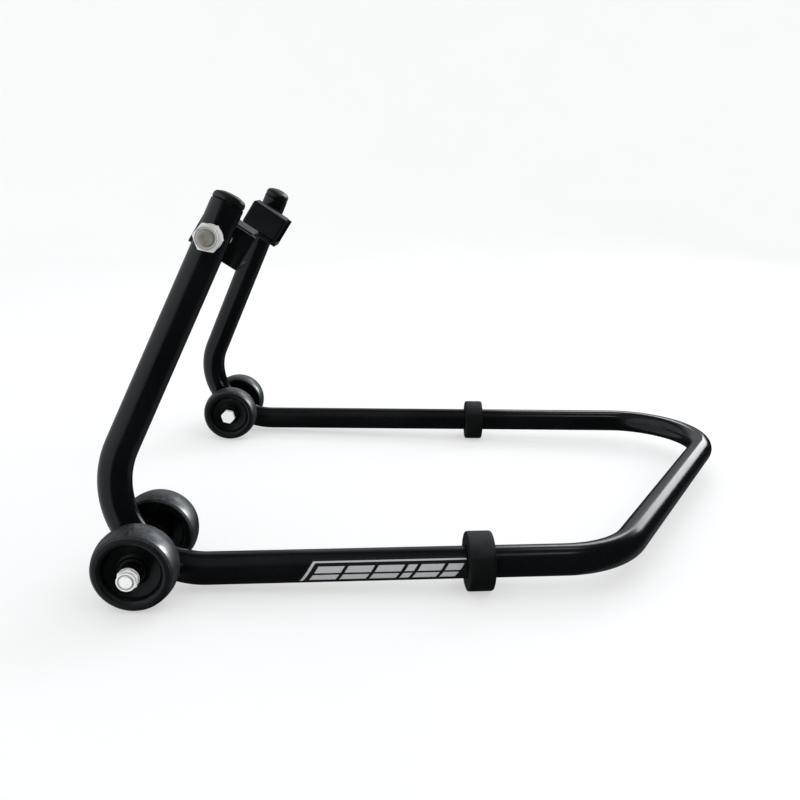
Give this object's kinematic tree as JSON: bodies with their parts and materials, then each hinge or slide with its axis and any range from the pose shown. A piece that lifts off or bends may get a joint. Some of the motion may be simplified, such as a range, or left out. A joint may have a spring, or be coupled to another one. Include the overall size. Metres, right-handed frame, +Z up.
{
  "type": "motorcycle paddock stand",
  "caption": "Rear motorcycle paddock stand: bent tube frame with a slanted handle bar, paired wheels, rubber foot rings and swivelling padded swingarm rests.",
  "frame": {"origin": "floor level under the centre of the bounding box", "axes": "+X towards the handle bar, +Z up from the floor, -Y the left side of the stand (the motorcycle faces -X)"},
  "size_m": [0.5996, 0.5292, 0.2973],
  "materials": {
    "gloss_black_paint": "gloss",
    "black_plastic": "satin",
    "wheel_rubber": "satin",
    "foot_rubber": "matte",
    "zinc_steel": "bright zinc plated"
  },
  "bodies": {
    "frame": {"frame_tube": "gloss_black_paint", "left_end_plug": "black_plastic", "left_outer_axle_spacer": "zinc_steel", "left_inner_axle_spacer": "zinc_steel", "left_axle_bolt": "zinc_steel", "left_axle_washer": "zinc_steel", "left_axle_nut": "zinc_steel", "left_foot_ring": "foot_rubber", "left_rest_bolt": "zinc_steel", "left_rest_nut": "zinc_steel", "left_rest_washer": "zinc_steel", "left_rest_spacer": "zinc_steel", "right_end_plug": "black_plastic", "right_outer_axle_spacer": "zinc_steel", "right_inner_axle_spacer": "zinc_steel", "right_axle_bolt": "zinc_steel", "right_axle_washer": "zinc_steel", "right_axle_nut": "zinc_steel", "right_foot_ring": "foot_rubber", "right_rest_bolt": "zinc_steel", "right_rest_nut": "zinc_steel", "right_rest_washer": "zinc_steel", "right_rest_spacer": "zinc_steel"},
    "left_outer_wheel": {"left_outer_wheel": "wheel_rubber", "left_outer_wheel_bush": "black_plastic"},
    "left_inner_wheel": {"left_inner_wheel": "wheel_rubber", "left_inner_wheel_bush": "black_plastic"},
    "left_rest": {"left_rest_bracket": "gloss_black_paint", "left_rest_pad": "foot_rubber"},
    "right_outer_wheel": {"right_outer_wheel": "wheel_rubber", "right_outer_wheel_bush": "black_plastic"},
    "right_inner_wheel": {"right_inner_wheel": "wheel_rubber", "right_inner_wheel_bush": "black_plastic"},
    "right_rest": {"right_rest_bracket": "gloss_black_paint", "right_rest_pad": "foot_rubber"}
  },
  "joints": [
    {"name": "left_outer_wheel_spin", "type": "hinge", "parent": "frame", "child": "left_outer_wheel", "pos_m": [-0.26285, -0.2395, 0.0312], "axis": [0, 1, 0], "continuous": true},
    {"name": "left_inner_wheel_spin", "type": "hinge", "parent": "frame", "child": "left_inner_wheel", "pos_m": [-0.26285, -0.1705, 0.0312], "axis": [0, 1, 0], "continuous": true},
    {"name": "left_rest_swivel", "type": "hinge", "parent": "frame", "child": "left_rest", "pos_m": [-0.21639, -0.14532, 0.26381], "axis": [0, 1, 0], "continuous": true},
    {"name": "right_outer_wheel_spin", "type": "hinge", "parent": "frame", "child": "right_outer_wheel", "pos_m": [-0.26312, 0.2395, 0.0312], "axis": [0, 1, 0], "continuous": true},
    {"name": "right_inner_wheel_spin", "type": "hinge", "parent": "frame", "child": "right_inner_wheel", "pos_m": [-0.26312, 0.1705, 0.0312], "axis": [0, 1, 0], "continuous": true},
    {"name": "right_rest_swivel", "type": "hinge", "parent": "frame", "child": "right_rest", "pos_m": [-0.21639, 0.14532, 0.26381], "axis": [0, 1, 0], "continuous": true}
  ]
}
